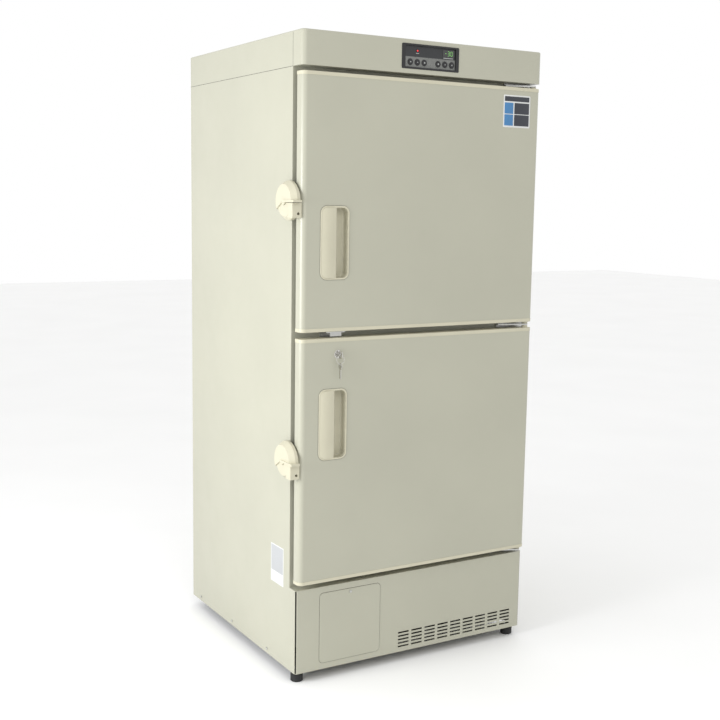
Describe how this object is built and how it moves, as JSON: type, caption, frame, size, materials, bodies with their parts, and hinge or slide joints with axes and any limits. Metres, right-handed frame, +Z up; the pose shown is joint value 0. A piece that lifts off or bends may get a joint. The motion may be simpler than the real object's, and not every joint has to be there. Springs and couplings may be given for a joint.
{
  "type": "upright laboratory freezer",
  "caption": "Upright freezer cabinet with two hinged doors, side latches, recessed handles, a header control panel and a louvred base.",
  "frame": {"origin": "on the floor under the middle of the cabinet's footprint, midway between the side panels and between the doors' front and the rear spacers", "axes": "+X to the right as seen from the front, -Y out of the doors, +Z up"},
  "size_m": [0.83, 0.8155, 1.805],
  "materials": {
    "ivory_paint": "satin",
    "white_paint": "satin",
    "cream_plastic": "satin",
    "white_foamed_panel": "satin",
    "foam": "matte",
    "gasket_rubber": "matte",
    "black_plastic": "satin",
    "grey_plastic": "satin",
    "dark_glass": "gloss",
    "bright_steel": "satin",
    "dark_steel": "satin",
    "black_paint": "gloss",
    "aluminium": "satin",
    "copper": "satin",
    "chrome": "polished",
    "rubber": "matte",
    "wheel_nylon": "satin"
  },
  "bodies": {
    "cabinet": {"base_frame": "dark_steel", "side_panel_left": "ivory_paint", "side_panel_right": "ivory_paint", "back_panel": "ivory_paint", "rear_cover": "ivory_paint", "rear_spacers": "black_plastic", "face_frame": "ivory_paint", "insulation": "foam", "interior_liners": "white_paint", "evaporator_shelves": "aluminium", "top_cover": "ivory_paint", "header_cover": "ivory_paint", "control_bezel": "black_plastic", "control_plate": "grey_plastic", "display_window": "dark_glass", "hinge_brackets": "bright_steel", "lock_strike": "bright_steel", "latch_bases": "cream_plastic", "lower_front_panel": "ivory_paint", "recorder_cover": "ivory_paint", "air_filter_frame": "black_plastic", "compressor": "black_paint", "condenser": "aluminium", "fan_shroud_and_motor": "dark_steel", "refrigerant_lines": "copper", "power_inlet_gland": "black_plastic", "rear_caster_forks": "bright_steel"},
    "upper_door": {"upper_door_skin": "ivory_paint", "upper_door_end_caps": "cream_plastic", "upper_door_inner_panel": "white_foamed_panel", "upper_door_gasket": "gasket_rubber", "upper_door_handle": "cream_plastic", "upper_latch_keeper": "cream_plastic"},
    "upper_latch": {"upper_latch_lever": "cream_plastic"},
    "lower_door": {"lower_door_skin": "ivory_paint", "lower_door_end_caps": "cream_plastic", "lower_door_inner_panel": "white_foamed_panel", "lower_door_gasket": "gasket_rubber", "lower_door_handle": "cream_plastic", "lower_latch_keeper": "cream_plastic", "lock_housing": "chrome"},
    "lower_latch": {"lower_latch_lever": "cream_plastic"},
    "lock": {"lock_cylinder": "chrome", "lock_key": "chrome"},
    "spare_key": {"spare_key_on_ring": "chrome"},
    "panel_key_1_body": {"panel_key_1": "black_plastic"},
    "panel_key_2_body": {"panel_key_2": "black_plastic"},
    "panel_key_3_body": {"panel_key_3": "black_plastic"},
    "panel_key_4_body": {"panel_key_4": "black_plastic"},
    "panel_key_5_body": {"panel_key_5": "black_plastic"},
    "panel_key_6_body": {"panel_key_6": "black_plastic"},
    "foot_left": {"levelling_foot_left": "rubber"},
    "front_caster_left": {"front_caster_fork_left": "bright_steel"},
    "front_wheel_left": {"front_caster_wheel_left": "wheel_nylon"},
    "rear_wheel_left": {"rear_caster_wheel_left": "wheel_nylon"},
    "foot_right": {"levelling_foot_right": "rubber"},
    "front_caster_right": {"front_caster_fork_right": "bright_steel"},
    "front_wheel_right": {"front_caster_wheel_right": "wheel_nylon"},
    "rear_wheel_right": {"rear_caster_wheel_right": "wheel_nylon"},
    "fan": {"condenser_fan": "grey_plastic"}
  },
  "joints": [
    {"name": "upper_door_swing", "type": "hinge", "parent": "cabinet", "child": "upper_door", "pos_m": [0.384, -0.376, 1.3525], "axis": [0, 0, 1], "range_deg": [0, 115]},
    {"name": "upper_latch_turn", "type": "hinge", "parent": "cabinet", "child": "upper_latch", "pos_m": [-0.414, -0.342, 1.3585], "axis": [-1, 0, 0], "range_deg": [0, 18], "stiffness_Nm_per_rad": 1},
    {"name": "lower_door_swing", "type": "hinge", "parent": "cabinet", "child": "lower_door", "pos_m": [0.384, -0.376, 0.6415], "axis": [0, 0, 1], "range_deg": [0, 115]},
    {"name": "lower_latch_turn", "type": "hinge", "parent": "cabinet", "child": "lower_latch", "pos_m": [-0.414, -0.342, 0.6461], "axis": [-1, 0, 0], "range_deg": [0, 18], "stiffness_Nm_per_rad": 1},
    {"name": "lock_turn", "type": "hinge", "parent": "lower_door", "child": "lock", "pos_m": [-0.282, -0.395, 0.943], "axis": [0, -1, 0], "range_deg": [0, 90]},
    {"name": "spare_key_swing", "type": "hinge", "parent": "lock", "child": "spare_key", "pos_m": [-0.282, -0.4095, 0.943], "axis": [-1, 0, 0], "range_deg": [0, 60]},
    {"name": "panel_key_1_press", "type": "slide", "parent": "cabinet", "child": "panel_key_1_body", "axis": [0, 1, 0], "range_m": [0, 0.0008], "stiffness_N_per_m": 400},
    {"name": "panel_key_2_press", "type": "slide", "parent": "cabinet", "child": "panel_key_2_body", "axis": [0, 1, 0], "range_m": [0, 0.0008], "stiffness_N_per_m": 400},
    {"name": "panel_key_3_press", "type": "slide", "parent": "cabinet", "child": "panel_key_3_body", "axis": [0, 1, 0], "range_m": [0, 0.0008], "stiffness_N_per_m": 400},
    {"name": "panel_key_4_press", "type": "slide", "parent": "cabinet", "child": "panel_key_4_body", "axis": [0, 1, 0], "range_m": [0, 0.0008], "stiffness_N_per_m": 400},
    {"name": "panel_key_5_press", "type": "slide", "parent": "cabinet", "child": "panel_key_5_body", "axis": [0, 1, 0], "range_m": [0, 0.0008], "stiffness_N_per_m": 400},
    {"name": "panel_key_6_press", "type": "slide", "parent": "cabinet", "child": "panel_key_6_body", "axis": [0, 1, 0], "range_m": [0, 0.0008], "stiffness_N_per_m": 400},
    {"name": "foot_left_screw_down", "type": "slide", "parent": "cabinet", "child": "foot_left", "axis": [0, 0, -1], "range_m": [0, 0.015]},
    {"name": "front_caster_left_swivel", "type": "hinge", "parent": "cabinet", "child": "front_caster_left", "pos_m": [-0.288, -0.212, 0.07], "axis": [0, 0, 1], "continuous": true},
    {"name": "front_wheel_left_roll", "type": "hinge", "parent": "front_caster_left", "child": "front_wheel_left", "pos_m": [-0.288, -0.188, 0.03], "axis": [1, 0, 0], "continuous": true},
    {"name": "rear_wheel_left_roll", "type": "hinge", "parent": "cabinet", "child": "rear_wheel_left", "pos_m": [-0.288, 0.277, 0.029], "axis": [1, 0, 0], "continuous": true},
    {"name": "foot_right_screw_down", "type": "slide", "parent": "cabinet", "child": "foot_right", "axis": [0, 0, -1], "range_m": [0, 0.015]},
    {"name": "front_caster_right_swivel", "type": "hinge", "parent": "cabinet", "child": "front_caster_right", "pos_m": [0.288, -0.212, 0.07], "axis": [0, 0, 1], "continuous": true},
    {"name": "front_wheel_right_roll", "type": "hinge", "parent": "front_caster_right", "child": "front_wheel_right", "pos_m": [0.288, -0.188, 0.03], "axis": [1, 0, 0], "continuous": true},
    {"name": "rear_wheel_right_roll", "type": "hinge", "parent": "cabinet", "child": "rear_wheel_right", "pos_m": [0.288, 0.277, 0.029], "axis": [1, 0, 0], "continuous": true},
    {"name": "fan_spin", "type": "hinge", "parent": "cabinet", "child": "fan", "pos_m": [0.11, -0.279, 0.1685], "axis": [0, 1, 0], "continuous": true}
  ]
}
